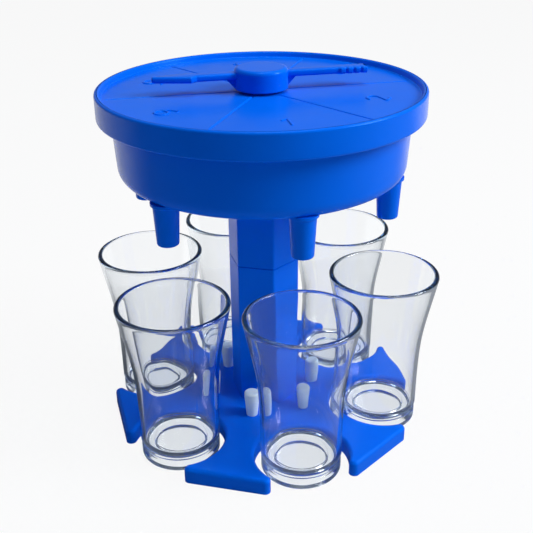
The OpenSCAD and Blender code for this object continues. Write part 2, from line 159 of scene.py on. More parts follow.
def hexRing(half, rounding, arcSteps=6):
    # A six-sided outline with its flats at half from the middle and rounded corners, flats towards the arms.
    # With rounding equal to half it is a circle. Guard points beside the arcs keep the flats flat.
    corner = (half - rounding) / math.cos(halfTurn)
    t = np.linspace(-halfTurn, halfTurn, arcSteps + 1)
    ring = []
    for k in range(stations):
        a = k * 2 * halfTurn
        middle = corner * np.array([math.sin(a), -math.cos(a)])
        arc = middle + rounding * np.stack([np.sin(a + t), -np.cos(a + t)], 1)
        before, after = a - halfTurn, a + halfTurn
        slide = 0.12 * max(half - rounding, 0) * math.tan(halfTurn)
        first = arc[0] + slide * -np.array([math.cos(before), math.sin(before)])
        last = arc[-1] + slide * np.array([math.cos(after), math.sin(after)])
        ring.append(np.vstack([first, arc, last]))
    return np.vstack(ring)


def hexLoft(path):
    # A six-sided outline carried along the path of (half width, height, corner rounding)
    rings = [(hexRing(half, min(rounding, half)), z) for half, z, rounding in path]
    return np.stack([np.column_stack([ring, np.full(len(ring), z)]) for ring, z in rings], 1)


def alongAxis(u, v, z, angle):
    # Points given as distance out, distance across and height, laid along the direction at angle from -Y
    u, v, z = np.broadcast_arrays(u, v, z)
    return np.stack([u * math.sin(angle) + v * math.cos(angle),
                     -u * math.cos(angle) + v * math.sin(angle), z], -1)


def softBar(stationRows, angle, edge=0.5, steps=4):
    # A bar along a direction: each row is (distance out, half width, low, high), its section a rectangle
    # with rounded edges; the two ends are drawn in by the same rounding and closed
    rows = np.array(stationRows, float)
    a = np.radians(np.linspace(0, 90, steps + 1))
    inset = edge * (1 - np.cos(a))
    slip = edge * (1 - np.sin(a))

    def drawnIn(row, way):
        return np.column_stack([row[0] + way * slip, row[1] - inset, row[2] + inset, row[3] - inset])

    def closing(row):
        middle = (row[2] + row[3]) / 2
        return [row[0], 0, middle, middle]

    first, last = rows[0], rows[-1]
    closed = np.vstack([closing(first), drawnIn(first, 1)[::-1], rows[1:-1],
                        drawnIn(last, -1), closing(last)])
    t = np.radians(np.concatenate([np.linspace(q * 90, q * 90 + 90, steps + 1) for q in range(4)]))
    signV = np.repeat([1, -1, -1, 1], steps + 1)
    signZ = np.repeat([1, 1, -1, -1], steps + 1)
    u, w, low, high = (closed[:, i:i + 1] for i in range(4))
    tall = (high - low) / 2
    e = np.minimum(edge, np.minimum(w, tall))
    v = signV * (w - e) + e * np.cos(t)
    z = (low + high) / 2 + signZ * (tall - e) + e * np.sin(t)
    return alongAxis(u, v, z, angle), False, True


def stationAt(index, radius, turned=0.0):
    # Middle of a station: stations run from -Y towards +X
    a = index * 2 * halfTurn + turned
    return radius * math.sin(a), -radius * math.cos(a)


def nodeOf(tree, kind, **values):
    n = tree.nodes.new(kind)
    for key, value in values.items():
        if key in n.inputs:
            n.inputs[key].default_value = value
        else:
            setattr(n, key, value)
    return n


def newMaterial(name):
    # A material, its links and coordinates, and the shader that its nodes feed
    m = bpy.data.materials.new(name)
    m.use_nodes = True
    tree = m.node_tree
    return m, tree, tree.links.new, nodeOf(tree, "ShaderNodeTexCoord"), tree.nodes["Principled BSDF"]


def spread(tree, value, fromLow, fromHigh, low, high, **more):
    # A value carried from one range to another
    n = nodeOf(tree, "ShaderNodeMapRange", **more, **{
        "From Min": fromLow, "From Max": fromHigh, "To Min": low, "To Max": high})
    tree.links.new(value, n.inputs["Value"])
    return n.outputs["Result"]


def noiseRange(tree, where, scale, low, high, detail=2.0):
    # A noise on object coordinates, as it is and spread between two values
    noise = nodeOf(tree, "ShaderNodeTexNoise", Scale=scale, Detail=detail)
    tree.links.new(where.outputs["Object"], noise.inputs["Vector"])
    return noise.outputs["Fac"], spread(tree, noise.outputs["Fac"], 0.3, 0.7, low, high)


def colourMix(tree, share, one, other):
    # From one colour to the other by a share
    mix = nodeOf(tree, "ShaderNodeMix", data_type="RGBA")
    mix.inputs[6].default_value, mix.inputs[7].default_value = one, other
    tree.links.new(share, mix.inputs[0])
    return mix.outputs[2]


def bumped(tree, height, strength, distance, normal=None):
    # A height turned into a bump, on top of another bump where one is given
    bump = nodeOf(tree, "ShaderNodeBump", Strength=strength, Distance=distance)
    tree.links.new(height, bump.inputs["Height"])
    if normal:
        tree.links.new(normal, bump.inputs["Normal"])
    return bump.outputs["Normal"]


def arithmetic(tree, operation, *terms):
    # One step of arithmetic, each term being a socket or a number
    n = nodeOf(tree, "ShaderNodeMath", operation=operation)
    for place, term in zip(n.inputs, terms):
        if isinstance(term, (int, float)):
            place.default_value = term
        else:
            tree.links.new(term, place)
    return n.outputs[0]


def shaderMix(tree, share, one, other):
    # From one shader to the other by a share
    mix = nodeOf(tree, "ShaderNodeMixShader")
    for place, socket in zip(mix.inputs, (share, one, other)):
        tree.links.new(socket, place)
    return mix.outputs[0]


bluePlastic = {
    "colour": (0.0, 0.138, 0.84, 1), "deep": (0.0, 0.124, 0.78, 1), "flow": 26.0,
    "roughness": (0.18, 0.26), "patch": 140.0, "peel": 700.0, "peelDepth": 0.000006,
    "sink": 60.0, "sinkDepth": 0.00005, "ior": 1.49, "specular": 0.16, "specularTint": (0.1, 0.55, 1, 1),
}


def moulded(name, look):
    m, tree, link, where, skin = newMaterial(name)
    # Pigment that drifts slowly through the melt
    _, share = noiseRange(tree, where, look["flow"], 0.0, 1.0, 3.0)
    link(colourMix(tree, share, look["deep"], look["colour"]), skin.inputs["Base Color"])
    # Polish that differs from patch to patch
    _, gloss = noiseRange(tree, where, look["patch"], *look["roughness"])
    link(gloss, skin.inputs["Roughness"])
    # Faint orange peel over slower sink marks in the walls
    peel, _ = noiseRange(tree, where, look["peel"], 0, 1)
    sink, _ = noiseRange(tree, where, look["sink"], 0, 1, 1.0)
    slow = bumped(tree, sink, 0.4, look["sinkDepth"])
    link(bumped(tree, peel, 0.3, look["peelDepth"], slow), skin.inputs["Normal"])
    skin.inputs["IOR"].default_value = look["ior"]
    skin.inputs["Specular IOR Level"].default_value = look["specular"]
    skin.inputs["Specular Tint"].default_value = look["specularTint"]
    return m


blue = moulded("bluePlastic", bluePlastic)

acrylicLook = {
    "colour": (0.99, 0.995, 1.0, 1), "polished": 0.0, "frosted": 0.15, "ior": 1.49, "wave": 55.0,
    "waveDepth": 0.00006, "depth": (0.70, 0.82, 0.92, 1), "density": 36.0,
}


def clearAcrylic(name, look):
    m, tree, link, where, skin = newMaterial(name)
    skin.inputs["Base Color"].default_value = look["colour"]
    skin.inputs["Transmission Weight"].default_value = 1.0
    skin.inputs["IOR"].default_value = look["ior"]
    # Polished all over, but matt under the foot, where the mould leaves a rough disc
    matt = nodeOf(tree, "ShaderNodeAttribute", attribute_name="frost")
    frost = spread(tree, matt.outputs["Fac"], 0, 1, look["polished"], look["frosted"])
    link(frost, skin.inputs["Roughness"])
    wave, _ = noiseRange(tree, where, look["wave"], 0, 1)
    link(bumped(tree, wave, 0.4, look["waveDepth"]), skin.inputs["Normal"])
    # Thick parts are faintly blue
    body = nodeOf(tree, "ShaderNodeVolumeAbsorption", Color=look["depth"], Density=look["density"])
    link(body.outputs[0], tree.nodes["Material Output"].inputs["Volume"])
    return m


acrylic = clearAcrylic("clearAcrylic", acrylicLook)

siliconeLook = {"colour": (0.82, 0.95, 1.0, 1), "milk": (0.90, 0.99, 1.0, 1), "cloud": 240.0,
                "roughness": 0.38, "ior": 1.41, "bloomDepth": 0.00002}


def milkySilicone(name, look):
    m, tree, link, where, skin = newMaterial(name)
    cloud, share = noiseRange(tree, where, look["cloud"], 0.0, 1.0, 3.0)
    link(colourMix(tree, share, look["colour"], look["milk"]), skin.inputs["Base Color"])
    skin.inputs["Roughness"].default_value = look["roughness"]
    skin.inputs["IOR"].default_value = look["ior"]
    link(bumped(tree, cloud, 0.3, look["bloomDepth"]), skin.inputs["Normal"])
    return m


silicone = milkySilicone("milkySilicone", siliconeLook)

zincLook = {"dark": (0.50, 0.52, 0.55, 1), "light": (0.66, 0.67, 0.69, 1), "spangle": 1200.0,
            "roughness": (0.28, 0.45)}


def zincSteel(name, look):
    m, tree, link, where, skin = newMaterial(name)
    crystal = nodeOf(tree, "ShaderNodeTexVoronoi", Scale=look["spangle"])
    link(where.outputs["Object"], crystal.inputs["Vector"])
    grain = crystal.outputs["Distance"]
    link(colourMix(tree, grain, look["dark"], look["light"]), skin.inputs["Base Color"])
    skin.inputs["Metallic"].default_value = 1.0
    link(spread(tree, grain, 0, 1, *look["roughness"]), skin.inputs["Roughness"])
    return m


zinc = zincSteel("zincSteel", zincLook)
print("finishes made")

cup = {
    "orbit": 55.8, "height": 75.0, "footR": 17.6, "waistR": 17.9, "rimR": 24.7,
    "wall": 1.8, "lip": 2.3, "floor": 7.0, "floorRound": 3.6, "footRound": 1.2,
    "ringAt": 4.8, "ringPitch": 1.6, "ringDepth": 0.5, "hollow": 2.4, "hollowR": 11.0, "hollowMouth": 12.0,
    "disc": 0.3, "around": 160, "ripple": 0.05, "seed": 40, "calmFoot": (12, 22), "calmLip": (64, 72),
}


def cupProfile(c):
    # From the middle of the underside out, up the outside, over the lip and down the inside.
    # The other value is where the lip's top comes among the points.
    ringAt, pitch = c["ringAt"], c["ringPitch"]
    ringTop = ringAt + pitch * 2.2
    low = softPath([(0, c["hollow"], 0), (c["hollowR"], c["hollow"], 0.2), (c["hollowMouth"], 0.0, 0.2),
                    (c["footR"], 0.0, c["footRound"]), (c["footR"], ringAt, 0.3),
                    (c["footR"] - c["ringDepth"], ringAt + pitch / 2, 0.25),
                    (c["footR"], ringAt + pitch, 0.25),
                    (c["footR"] - c["ringDepth"], ringAt + pitch * 1.5, 0.25),
                    (c["waistR"], ringTop, 0)], 6)
    side = cubic((c["waistR"], ringTop), (c["waistR"], c["height"] * 0.62),
                 (c["waistR"] + c["height"] * 0.015, c["height"] * 0.6),
                 (c["rimR"], c["height"] - c["lip"] / 2), 60)
    lipR = c["lip"] / 2
    lip = arcPoints((c["rimR"] - lipR, c["height"] - lipR), lipR, 8, 172, 16)
    inR = c["waistR"] - c["wall"]
    inner = cubic((c["rimR"] - c["lip"], c["height"] - lipR), (inR + c["height"] * 0.02, c["height"] * 0.6),
                  (inR, c["height"] * 0.6), (inR, c["floor"] + c["floorRound"]), 60)
    bottom = arcPoints((inR - c["floorRound"], c["floor"] + c["floorRound"]), c["floorRound"], 0, -90, 14)
    edge = inR - c["floorRound"] - 0.4
    disc = softPath([(edge + 0.35, c["floor"], 0), (edge, c["floor"], 0.1),
                     (edge - c["disc"], c["floor"] + c["disc"], 0.1), (0, c["floor"] + c["disc"], 0)], 4)
    lipTop = len(low) + len(side) + len(lip) // 2
    return np.vstack([low, side[1:], lip, inner[1:], bottom[1:], disc[1:]]), lipTop


def makeCup(index):
    profile, lipTop = cupProfile(cup)
    centre = stationAt(index, cup["orbit"])
    points = revolved(profile, cup["around"])
    # Mould ripple: the radius swells and shrinks by a few slow waves round the wall that drift with height
    rng = np.random.default_rng(cup["seed"] + index)
    t = np.linspace(0, 2 * math.pi, cup["around"], endpoint=False)[:, None]
    z = profile[None, :, 1]
    r = np.maximum(profile[None, :, 0], 1e-6)
    wave = sum(a * np.sin(n * t + p + q * z) for n, a, p, q in zip(
        (2, 3, 5, 7, 11), (0.6, 0.8, 0.5, 0.35, 0.25), rng.uniform(0, 6.28, 5), rng.uniform(-0.05, 0.05, 5)))
    (footCalm, footFree), (lipFree, lipCalm) = cup["calmFoot"], cup["calmLip"]
    fade = np.clip((z - footCalm) / (footFree - footCalm), 0, 1)
    fade = fade * np.clip((lipCalm - z) / (lipCalm - lipFree), 0, 1)
    inside = (np.arange(profile.shape[0]) > lipTop)[None, :]
    grow = 1 + cup["ripple"] * wave * fade * np.where(inside, 1.0, -0.4) / r
    points[..., :2] *= grow[..., None]
    points[..., 0] += centre[0]
    points[..., 1] += centre[1]
    # The matt disc is what lies inside the hollow's radius on the underside
    below = profile[:, 1] < cup["floor"] - 1
    frost = np.clip((cup["hollowR"] + 0.1 - profile[:, 0]) / 0.2, 0, 1) * below
    meshPiece(f"cup_shell_{index + 1}", [(points, True, False)], acrylic, f"cup_{index + 1}",
              [f"cup_{index + 1}"], 60, np.repeat(frost[None], cup["around"], 0))


for k in range(stations):
    makeCup(k)
print("cups made")

base = {
    "notchAt": 57.0, "notchR": 21.0, "over": 22.6, "height": level["baseTop"], "round": 1.8, "corner": 2.4,
    "wall": 2.2, "arcPoints": 44, "cornerPoints": 14, "endPoints": 6, "socket": 14.35, "socketRound": 1.2,
    "rib": 0.8, "ribLift": 1.0, "plugAt": 26.0, "plugHole": 2.45, "plugBoss": 4.6, "plugHoleLow": 3.15,
    "spineEnd": 58.0,
}


def armEdge(b, inset):
    # Half of an arm's plan, from the notch's middle round the notch, the corner and half the flat end.
    # u runs out along the arm and v across it. Insetting widens the notch and shrinks the corner.
    reach = b["notchAt"] * math.cos(halfTurn) + b["over"]
    notch = np.array([b["notchAt"] * math.cos(halfTurn), b["notchAt"] * math.sin(halfTurn)])
    cornerU = reach - b["corner"]
    cornerV = notch[1] - math.sqrt((b["notchR"] + b["corner"])**2 - (cornerU - notch[0])**2)
    notchR, cornerR = b["notchR"] + inset, b["corner"] - inset
    first = math.atan2(-math.sin(halfTurn), -math.cos(halfTurn))
    last = math.atan2(cornerV - notch[1], cornerU - notch[0])
    t = np.linspace(first, last, b["arcPoints"])
    round1 = notch + notchR * np.stack([np.cos(t), np.sin(t)], 1)
    t = np.linspace(last + math.pi, 0, b["cornerPoints"])
    round2 = np.array([cornerU, cornerV]) + cornerR * np.stack([np.cos(t), np.sin(t)], 1)
    end = np.stack([np.full(b["endPoints"], reach - inset), np.linspace(cornerV, 0, b["endPoints"])], 1)
    return np.vstack([round1, round2[1:], end[1:]])


def armSpine(b, count):
    # The inner line that each edge point is joined to: along the socket's flat, then out along the arm.
    # The second value is how many of its points lie on the flat.
    half = b["socket"] * math.tan(halfTurn)
    onFlat = round(count * 0.16)
    v = np.concatenate([np.linspace(half, 0, onFlat), np.zeros(count - onFlat)])
    along = np.clip((np.arange(count) - onFlat + 1) / (count * 0.5), 0, 1)
    return np.stack([b["socket"] + (b["spineEnd"] - b["socket"]) * along, v], 1), onFlat


def baseSheets(b):
    # Each half arm is a grid: up the side, over the rounded edge and in to the spine, then the same below
    steps = 10
    a = np.radians(np.linspace(0, 90, steps))
    insets = b["round"] * (1 - np.cos(a))
    heights = b["height"] - b["round"] * (1 - np.sin(a))
    outline = armEdge(b, 0.0)
    count = len(outline)
    spine, onFlat = armSpine(b, count)
    underZ = b["height"] - b["wall"]
    rings = [(outline, 0.0), (outline, 0.5), (outline, heights[0] - 0.3)]
    rings += [(armEdge(b, i), h) for i, h in zip(insets, heights)]
    top = armEdge(b, b["round"])
    rings += [(top + (spine - top) * s, b["height"]) for s in (0.03, 0.15, 0.3, 0.5, 0.7, 0.85, 1.0)]
    outer = np.stack([np.column_stack([p, np.full(count, h)]) for p, h in rings], 1)
    inner = armEdge(dict(b, corner=b["corner"] + 0.2), b["wall"])
    under = [(outline, 0.0), (inner, 0.0), (inner, underZ - 0.3), (inner, underZ)]
    under += [(inner + (spine - inner) * s, underZ) for s in (0.3, 0.6, 1.0)]
    lower = np.stack([np.column_stack([p, np.full(count, h)]) for p, h in under], 1)
    flat = spine[:onFlat]
    mouth = np.stack([np.column_stack([flat, np.full(onFlat, h)]) for h in (b["height"], underZ)], 1)
    sheets = []
    for k in range(stations):
        for flip in (-1, 1):
            for g in (outer, lower, mouth):
                points = alongAxis(g[..., 0], flip * g[..., 1], g[..., 2], k * 2 * halfTurn + halfTurn)
                sheets.append((points, False, False))
    return sheets


def socketBoss(b):
    # The six-sided cup under the plate that holds the column's foot, with the recess for its screw
    low, seat, high = b["ribLift"] / 2, level["foot"], b["height"] - 1.2
    wide, shank, head = b["socket"] + b["wall"], 1.6, 3.5
    clear, step = b["socket"] + 0.02, seat - 1.5
    inner, outer = b["socketRound"], b["socketRound"] + b["wall"]
    return hexLoft([(clear, high, inner), (clear, seat, inner), (shank, seat, shank), (shank, step, shank),
                    (head, step, head), (head, low, head), (wide, low, outer), (wide, high, outer)])


def makeBase(b):
    sheets = baseSheets(b)
    sheets.append((socketBoss(b), True, True))
    high = b["height"] - 1.0
    end = b["notchAt"] * math.cos(halfTurn) + b["over"] - b["wall"] / 2
    boss = softPath([(0, b["ribLift"], 0), (b["plugBoss"], b["ribLift"], 0.3),
                     (b["plugBoss"], high, 0), (0, high, 0)])
    for k in range(stations):
        angle = k * 2 * halfTurn + halfTurn
        rib = [(b["socket"] + 1, b["rib"], b["ribLift"], high), (end, b["rib"], b["ribLift"], high)]
        sheets.append(softBar(rib, angle, 0.2, 2))
        sheets.append((revolved(boss, 36, stationAt(k, b["plugAt"], halfTurn)), True, False))
    star = meshPiece("base_star", sheets, blue, "stand", ["base"], 35)
    # The storage holes are bored through the plate and into the bosses
    r, low, above = b["plugHole"], b["plugHoleLow"], b["height"] + 1.8
    bore = np.array([(0, low), (r, low), (r, above), (0, above)])
    middles = [stationAt(k, b["plugAt"], halfTurn) for k in range(stations)]
    drill(star, [(revolved(bore, 32, middle), True, False) for middle in middles])


def drill(piece, sheets, sharp=35):
    # Takes closed shapes out of a piece for good
    tool = placed("drill", sheetMesh("drill", sheets))
    cut = piece.modifiers.new("drill", "BOOLEAN")
    cut.object, cut.operation, cut.solver, cut.use_self = tool, "DIFFERENCE", "EXACT", True
    bpy.context.view_layer.update()
    done = bpy.data.meshes.new_from_object(piece.evaluated_get(bpy.context.evaluated_depsgraph_get()))
    piece.modifiers.clear()
    old, piece.data = piece.data, done
    bpy.data.meshes.remove(old)
    bpy.data.objects.remove(tool)
    piece.data.name = piece.name
    smoothed(piece.data, sharp)


makeBase(base)
print("base made")

column = {"half": 14.3, "round": 1.2, "wall": 2.0, "spigot": 12.0, "spigotTop": 93.5, "bore": 10.0,
          "collarLow": 69.5, "web": 3.0, "edge": 0.3, "shank": 1.55, "post": 3.4, "postTop": 15.6}


def filleted(corners, steps=3):
    # Fillets a closed profile of (half width, height, corner rounding, fillet) rows, and carries the
    # outline's own corner rounding along
    rows = [(h, z, f) for h, z, _, f in corners]
    path = softPath([rows[-1]] + rows + [rows[0]], steps)[1:-1]
    marks = np.array([(h, z) for h, z, _, _ in corners], float)
    nearest = np.argmin(np.linalg.norm(path[:, None] - marks[None], axis=2), axis=1)
    return [(h, z, corners[i][2]) for (h, z), i in zip(path, nearest)]


def makeColumns(c):
    half, r, e, inner = c["half"], c["round"], c["edge"], c["half"] - c["wall"]
    foot, seam, upper, hub = level["foot"], level["seam"], level["upper"], level["hub"]
    big = 99.0                      # a rounding larger than the width makes the outline a circle
    lower = filleted([
        (c["shank"], foot + 9, big, 0), (c["shank"], foot, big, 0), (half, foot, r, 0.2), (half, seam, r, e),
        (c["spigot"], seam, r, 0.1), (c["spigot"], c["spigotTop"], r, 0.4),
        (c["bore"], c["spigotTop"], r, 0.2), (c["bore"], c["collarLow"], r, 0.1),
        (inner, c["collarLow"], 0.4, 0.1), (inner, foot + c["web"], 0.4, 0.3),
        (c["post"], foot + c["web"], big, 0.3), (c["post"], c["postTop"], big, 0.2),
        (0.01, c["postTop"], big, 0), (0.01, foot + 9, big, 0)])
    meshPiece("column_lower", [(hexLoft(lower), True, True)], blue, "stand", ["lower_column"],
              35)
    top = filleted([
        (c["shank"], hub, big, 0), (half, hub, r, 0.2), (half, upper, r, e), (inner, upper, 0.4, 0.1),
        (inner, hub - c["web"], 0.4, 0.3), (c["shank"], hub - c["web"], big, 0)])
    meshPiece("column_upper", [(hexLoft(top), True, True)], blue, "dispenser", ["upper_column"],
              35)


makeColumns(column)
print("columns made")

lid = {
    "radius": 70.0, "wall": 2.2, "rimIn": 67.8, "round": 1.09, "skirtLow": 146.0, "padR": 8.0, "pad": 0.8,
    "stemHole": 4.08, "turn": -4.5, "grooveFrom": 10.4, "grooveTo": 65.4, "grooveHalf": 0.6,
    "grooveDepth": 0.6, "faceSteps": 56, "between": 12,
}


def lidProfile(d):
    # From the hole's upper edge out over the pad, the face and the rim, down the skirt and back underneath
    face, top, under, low = level["lidFace"], level["lidTop"], level["lidUnder"], d["skirtLow"]
    r, inside = d["round"], d["radius"] - d["wall"]
    start = softPath([(d["stemHole"], under, 0), (d["stemHole"], face + d["pad"], 0.15),
                      (d["padR"], face + d["pad"], 0.25), (d["padR"], face, 0.2),
                      (d["padR"] + 1.2, face, 0)], 5)
    r0, r1 = d["padR"] + 1.3, d["rimIn"] - 2.4
    across = np.column_stack([np.linspace(r0, r1, d["faceSteps"]), np.full(d["faceSteps"], face)])
    outer = softPath([(r1 + 0.4, face, 0), (d["rimIn"] - 0.65, face, 0.35), (d["rimIn"], top, r),
                      (d["radius"], top, r), (d["radius"], low, r), (inside, low, 0.3), (inside, under, 0.3),
                      (60, under, 0)], 7)
    return np.vstack([start, across, outer, [[30, under]]])


def makeLid(d):
    profile = lidProfile(d)
    r, z = profile[None, :, 0], profile[None, :, 1]
    w = np.array([0, 0.05, 0.12, 0.24, 0.36, 0.48, 0.56, 0.6, 0.64, 0.75, 0.95])
    w = np.concatenate([-w[:0:-1], w])[:, None]
    # Lines beside a groove keep their distance from it; the others share what is left of the sector
    beside = np.arcsin(np.clip(w / r, -1, 1))
    last = beside[-1:]
    share = np.linspace(0, 1, d["between"] + 1)[1:-1, None]
    right = last + (halfTurn - last) * share
    sector = np.vstack([-np.full_like(r, halfTurn), -right[::-1], beside, right])
    far = np.full(len(share), 9.0)      # these lines lie outside the groove
    offset = np.concatenate([far[:1], far, w[:, 0], far])[:, None]
    # The groove is a V with softened edges: its depth falls off with the distance from its middle
    slope = 1 - np.sqrt(offset**2 + 0.05**2) / d["grooveHalf"]
    depth = d["grooveDepth"] * 0.5 * (slope + np.sqrt(slope**2 + 0.004))
    along = np.clip((r - d["grooveFrom"]) / 0.3, 0, 1) * np.clip((d["grooveTo"] - r) / 0.3, 0, 1)
    onFace = (np.abs(z - level["lidFace"]) < 1e-6) & (r > d["padR"])
    drop = np.where(onFace & (offset < far[0]), depth * along, 0)
    rings = []
    for k in range(stations):
        a = sector + k * 2 * halfTurn + halfTurn + math.radians(d["turn"])
        rings.append(np.stack([r * np.sin(a), -r * np.cos(a), z - drop], -1))
    points = np.concatenate(rings, 0)
    meshPiece("lid_cover", [(points, True, True)], blue, "lid", ["lid"], 38)


makeLid(lid)

# Plain numbers for the six players, each drawn in strokes of points (across, up, corner radius)
numbers = {
    "at": 50.0, "height": 9.0, "width": 5.4, "stroke": 0.55, "rise": 0.4, "turn": -4.5,
    "strokes": {
        1: [[(-0.45, 0.74, 0), (0.08, 1, 0.02), (0.08, 0, 0)]],
        2: [[(-0.5, 0.76, 0), (-0.5, 1, 0.24), (0.5, 1, 0.24), (0.5, 0.56, 0.2), (-0.5, 0, 0.05),
             (0.52, 0, 0)]],
        3: [[(-0.5, 0.8, 0), (-0.5, 1, 0.2), (0.47, 1, 0.24), (0.47, 0.54, 0.22), (-0.15, 0.54, 0)],
            [(-0.15, 0.54, 0), (0.5, 0.54, 0.26), (0.5, 0, 0.26), (-0.5, 0, 0.22), (-0.5, 0.22, 0)]],
        4: [[(0.22, 0, 0), (0.22, 1, 0.03), (-0.52, 0.28, 0.05), (0.55, 0.28, 0)]],
        5: [[(0.45, 1, 0), (-0.42, 1, 0.05), (-0.46, 0.56, 0.05), (0.5, 0.66, 0.3), (0.5, 0, 0.3),
             (-0.5, 0, 0.22), (-0.52, 0.16, 0)]],
        6: [[(0.4, 0.95, 0), (-0.2, 1.02, 0.5), (-0.5, 0.3, 0.3), (-0.5, 0, 0.28), (0.5, 0, 0.28),
             (0.5, 0.58, 0.28), (-0.47, 0.58, 0.2), (-0.5, 0.3, 0)]],
    },
}


def strokeSheet(path, half, rise, face, angle, at):
    # A low rounded bead along a path: at each point the section is half an ellipse above the face and a
    # little below it; towards both ends the section shrinks as a circle does, so that the ends are round
    seg = np.linalg.norm(np.diff(path, axis=0), axis=1)
    s = np.concatenate([[0], np.cumsum(seg)])
    cap = half * (1 - np.cos(np.radians(np.linspace(0, 90, 7))))
    middle = np.arange(half + 0.15, s[-1] - half - 0.14, 0.15)
    at1 = np.concatenate([cap, middle, (s[-1] - cap)[::-1]])
    x, y = np.interp(at1, s, path[:, 0]), np.interp(at1, s, path[:, 1])
    tx, ty = np.gradient(x, at1), np.gradient(y, at1)
    size = np.hypot(tx, ty)
    tx, ty = tx / size, ty / size
    near = np.clip(np.minimum(at1, s[-1] - at1) / half, 0, 1)
    full = np.sqrt(1 - (1 - near)**2)[:, None]
    t = np.linspace(0, 2 * math.pi, 14, endpoint=False)[None]
    side = half * full * np.cos(t)
    up = rise * full * np.sin(t)
    px, py = x[:, None] - ty[:, None] * side, y[:, None] + tx[:, None] * side
    return alongAxis(at - py, px, face + up, angle), False, True


def makeNumbers(n):
    sheets = []
    for k in range(stations):
        angle = k * 2 * halfTurn + math.radians(n["turn"])
        for stroke in n["strokes"][k + 1]:
            corners = [(x * n["width"], (y - 0.5) * n["height"], r * n["height"]) for x, y, r in stroke]
            path = softPath(corners, 10, 0.0)
            keep = np.concatenate([[True], np.linalg.norm(np.diff(path, axis=0), axis=1) > 1e-6])
            sheets.append(strokeSheet(path[keep], n["stroke"], n["rise"], level["lidFace"], angle, n["at"]))
    meshPiece("lid_numbers", sheets, blue, "lid", (), 60)


makeNumbers(numbers)
print("lid made")

pointer = {
    "knobR": 11.4, "knobHigh": 8.8, "round": 1.8, "wall": 1.8, "stemR": 4.0, "shoulderR": 4.9, "boreR": 1.55,
    "armLow": 4.3, "armHigh": 7.0, "halfWidth": 2.7, "reach": 46.0, "neck": 30.0, "headHalf": 4.8,
    "tipHalf": 1.0, "tailHalf": 3.6, "tailLength": 13.0, "teeth": 4, "edge": 0.9, "gusset": 3.4,
    "turn": -94.5,
}


def makePointer(p):
    z0, r = level["knob"], p["knobR"]
    top, hollow = z0 + p["knobHigh"], z0 + p["knobHigh"] - p["wall"]
    stemLow = level["lidUnder"] - 0.1
    shoulder = level["lidFace"] + 1.0
    bore = stemLow + 8.5
    # Knob and stem in one turn: over the top, up inside the hollow, down the shoulder and stem, up the bore
    knob = softPath([(0, top, 0), (r, top, p["round"]), (r, z0, 0.25), (r - p["wall"], z0, 0.2),
                     (r - p["wall"], hollow, 0.6), (p["shoulderR"], hollow, 0.6),
                     (p["shoulderR"], shoulder, 0.15), (p["stemR"], shoulder, 0.05),
                     (p["stemR"], stemLow, 0.2), (p["boreR"], stemLow, 0.1), (p["boreR"], bore, 0),
                     (0, bore, 0)], 8)
    sheets = [(revolved(knob, 128), True, False)]
    low, high = z0 + p["armLow"], z0 + p["armHigh"]
    root = r - 1.2
    head = softPath([(root, p["halfWidth"], 0), (p["neck"] - 2.4, p["halfWidth"], 0.8),
                     (p["neck"], p["headHalf"], 0.5), (p["reach"], p["tipHalf"], 0)], 5)
    sheets.append(softBar([(u, w, low, high) for u, w in head], math.radians(p["turn"]), p["edge"]))
    # The tail's edges step out and back in like feathers
    pitch = p["tailLength"] / p["teeth"]
    tail = [(root, p["halfWidth"], 0)]
    for i in reversed(range(p["teeth"])):
        foot = p["reach"] - (i + 1) * pitch
        tail += [(foot + 0.01, p["halfWidth"], 0.15), (foot + pitch * 0.35, p["tailHalf"], 0.15),
                 (foot + pitch * 0.85, p["tailHalf"], 0.15)]
    tail.append((p["reach"], p["halfWidth"], 0))
    back = softPath(tail, 3)
    sheets.append(softBar([(u, w, low, high) for u, w in back], math.radians(p["turn"] + 180), p["edge"]))
    for turn in (0, 180):
        rib = [(root, 0.8, z0 + 0.3, high - 0.5), (r, 0.8, z0 + 0.3, high - 0.5),
               (r + p["gusset"], 0.8, low - 0.2, high - 0.5),
               (r + p["gusset"] + 0.5, 0.8, low + 0.2, high - 0.5)]
        sheets.append(softBar(rib, math.radians(p["turn"] + turn), 0.25, 3))
    meshPiece("pointer_arrow", sheets, blue, "pointer", ["pointer"], 38)


makePointer(pointer)
print("pointer made")

plug = {"orbit": 26.0, "height": 12.4, "topR": 3.45, "lowR": 2.65, "stubR": 2.4, "stub": 4.0, "round": 0.9}


def makeStopper(index, s):
    z = level["baseTop"]
    path = softPath([(0, z - s["stub"], 0), (s["stubR"], z - s["stub"], 0.3), (s["stubR"], z + 0.05, 0.02),
                     (s["lowR"], z + 0.05, 0.12), (s["topR"], z + s["height"] * 0.8, 1.5),
                     (s["topR"], z + s["height"], s["round"]), (0, z + s["height"], 0)], 8)
    centre = stationAt(index, s["orbit"], halfTurn)
    meshPiece(f"stopper_plug_{index + 1}", [(revolved(path, 64, centre), True, False)], silicone,
              f"stopper_{index + 1}", [f"stopper_{index + 1}"], 50)


for k in range(stations):
    makeStopper(k, plug)
print("stoppers made")


def dressNode(name, material):
    # A node that keeps its shape: its loose triangles are welded, parted at hard edges and smoothed
    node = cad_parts[name]
    node.data.materials.clear()
    node.data.materials.append(material)
    weld = node.modifiers.new("weld", "WELD")
    weld.merge_threshold = weldGap
    split = node.modifiers.new("split", "EDGE_SPLIT")
    split.split_angle = math.radians(30)
    node.data.shade_smooth()
    even = node.modifiers.new("even", "WEIGHTED_NORMAL")
    even.keep_sharp = True


dressNode("bowl", blue)
for name in ("base_screw", "bowl_screw", "pointer_washer", "pointer_screw"):
    dressNode(name, zinc)
print("frame nodes dressed")

shot = {"lens": 57.43, "at": (-0.0987, -0.3432, 0.2431), "down": 25.61, "heading": -16.26, "roll": -0.65}


